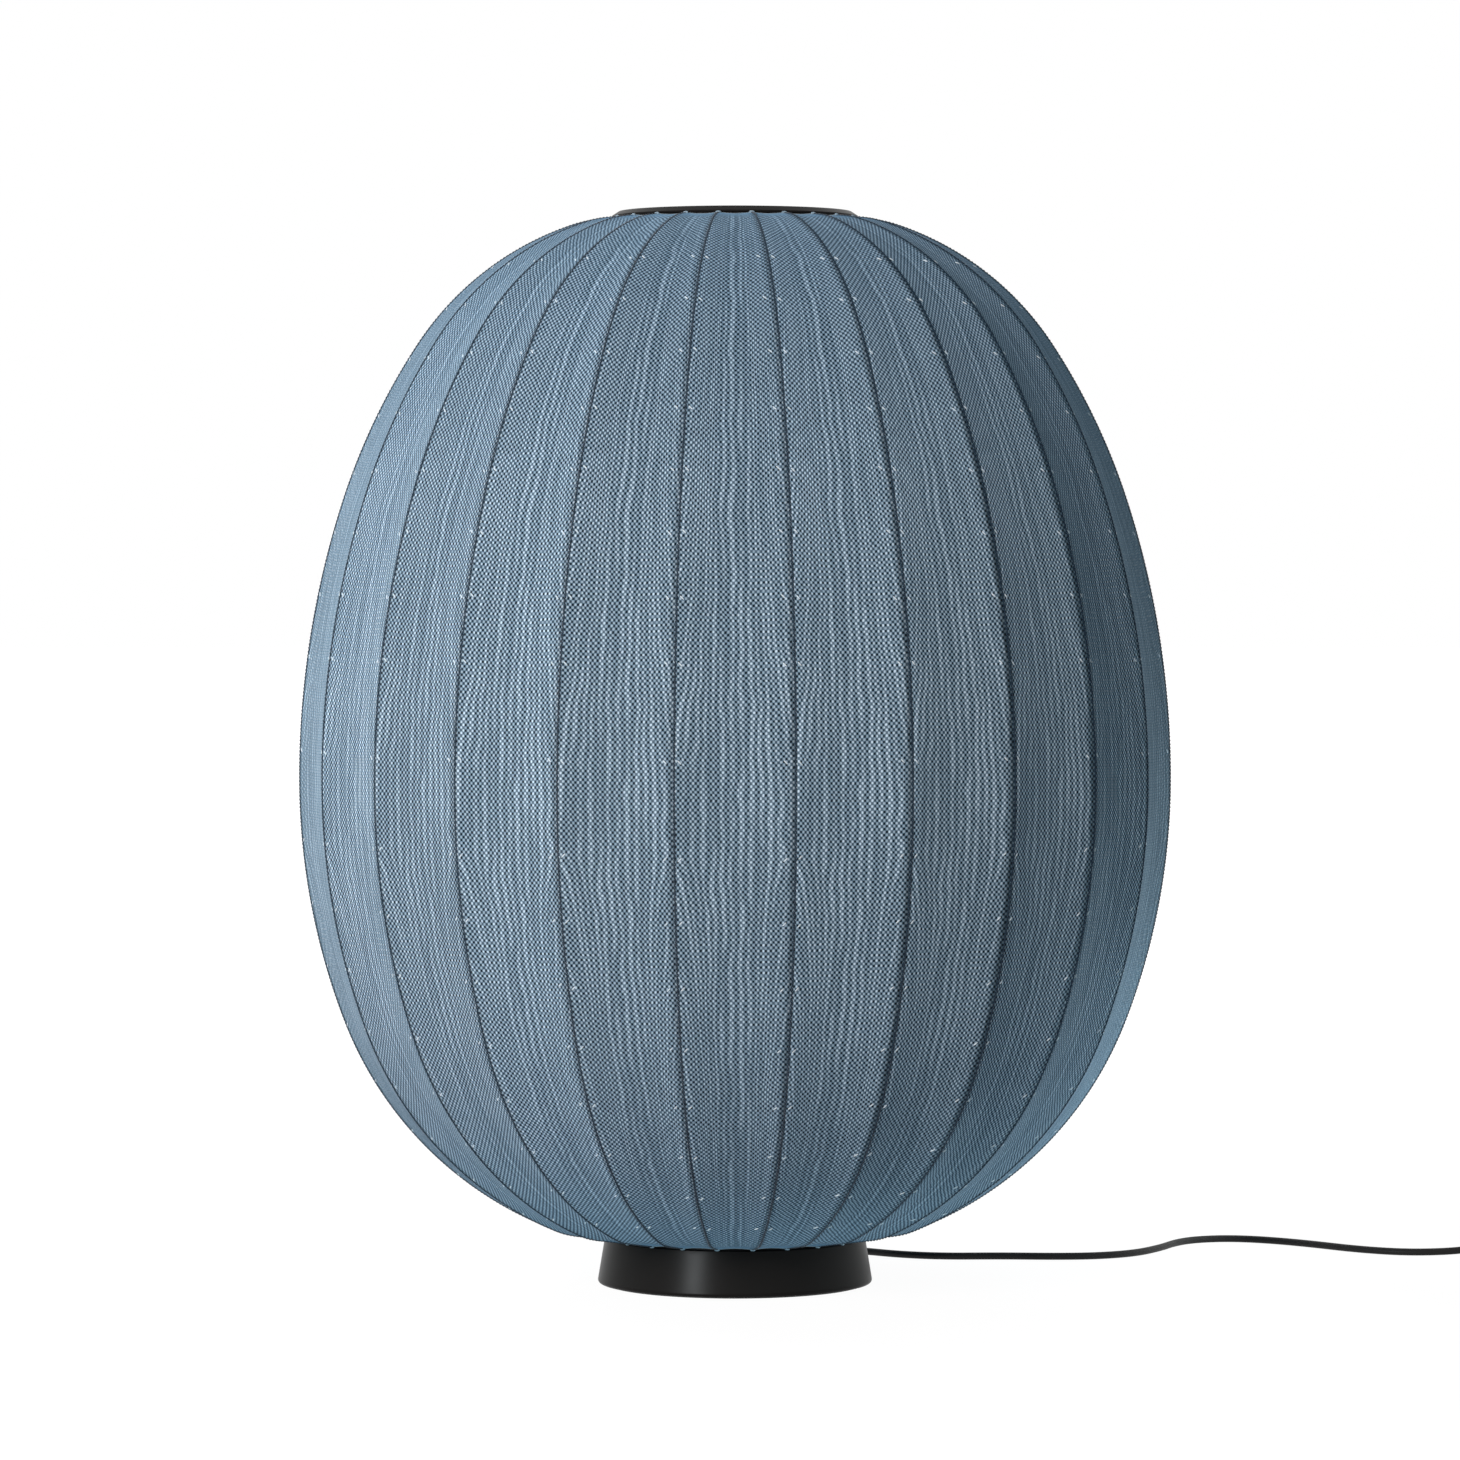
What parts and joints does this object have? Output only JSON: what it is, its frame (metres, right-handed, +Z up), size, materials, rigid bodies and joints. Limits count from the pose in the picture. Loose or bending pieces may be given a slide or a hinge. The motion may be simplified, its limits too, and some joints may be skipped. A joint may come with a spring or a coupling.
{
  "type": "floor lamp",
  "caption": "Egg-shaped floor lamp: knitted tube stretched over bowed ribs between two socket rings, on a low weighted foot, with a lift-off cap, a screw-in bulb and a foot switch on its lead.",
  "frame": {"origin": "on the floor under the middle of the foot", "axes": "+Z up along the lamp's axis, +Y the way the lead leaves the foot, +X to the right of the lamp seen from its front"},
  "size_m": [1.0874, 0.6454, 0.802],
  "materials": {
    "knit": "fine two-tone knit",
    "rib": "drawn glass-fibre rod",
    "black_metal": "black satin powder coat",
    "cast_weight": "raw casting",
    "steel": "zinc-plated",
    "brass": "bare",
    "holder_plastic": "black moulded thermoset",
    "ceramic": "glazed insulator",
    "opal_glass": "opal",
    "bulb_metal": "rolled screw cap",
    "felt": "pressed felt",
    "cord_sheath": "matte black sheath",
    "lead_sheath": "insulated wire",
    "switch_plastic": "fine spark-eroded",
    "plug_plastic": "moulded"
  },
  "bodies": {
    "lamp": {"ballast_weight": "cast_weight", "base_plate": "steel", "base_plate_screws": "steel", "base_shell": "black_metal", "cord_clamp": "holder_plastic", "cord_clamp_screws": "steel", "cord_coil": "cord_sheath", "cord_entry": "cord_sheath", "cord_lead": "cord_sheath", "cord_tie": "switch_plastic", "floor_pad": "felt", "holder_body": "holder_plastic", "holder_cap": "holder_plastic", "holder_contact": "brass", "holder_insulator": "ceramic", "holder_screw_shell": "brass", "inner_leads": "lead_sheath", "knit_shade": "knit", "lower_rib_ring": "black_metal", "lower_ring_screws": "steel", "plug_body": "plug_plastic", "plug_pins": "brass", "rib_casings": "knit", "rib_pair_01": "rib", "rib_pair_02": "rib", "rib_pair_03": "rib", "rib_pair_04": "rib", "rib_pair_05": "rib", "rib_pair_06": "rib", "rib_pair_07": "rib", "rib_pair_08": "rib", "rib_pair_09": "rib", "rib_pair_10": "rib", "rib_pair_11": "rib", "rib_pair_12": "rib", "stem_nut": "steel", "stem_rod": "steel", "stem_tube": "black_metal", "stem_washer": "steel", "strain_relief": "cord_sheath", "switch_base": "switch_plastic", "switch_contacts": "brass", "switch_cover": "switch_plastic", "switch_screws": "steel", "switch_spring": "steel", "upper_rib_ring": "black_metal"},
    "lid": {"top_cap": "black_metal"},
    "bulb_tip": {"bulb_contact": "brass"},
    "bulb": {"bulb_cap": "bulb_metal", "bulb_globe": "opal_glass"},
    "button": {"switch_button": "switch_plastic"}
  },
  "joints": [
    {"name": "lid_lift", "type": "slide", "parent": "lamp", "child": "lid", "axis": [0, 0, 1], "range_m": [0, 0.15]},
    {"name": "bulb_rise", "type": "slide", "parent": "lamp", "child": "bulb_tip", "axis": [0, 0, 1], "range_m": [0, 0.0218]},
    {"name": "bulb_turn", "type": "hinge", "parent": "bulb_tip", "child": "bulb", "pos_m": [0, 0, 0.32], "axis": [0, 0, 1], "range_deg": [0, 2160]},
    {"name": "switch_press", "type": "slide", "parent": "lamp", "child": "button", "axis": [0, 0, -1], "range_m": [0, 0.0025], "stiffness_N_per_m": 800, "springref_m": -0.002, "deforming": ["switch_spring"]}
  ],
  "couplings": [
    {"joint": "bulb_rise", "follows": "bulb_turn", "m_per_rad": 0.00057757}
  ]
}
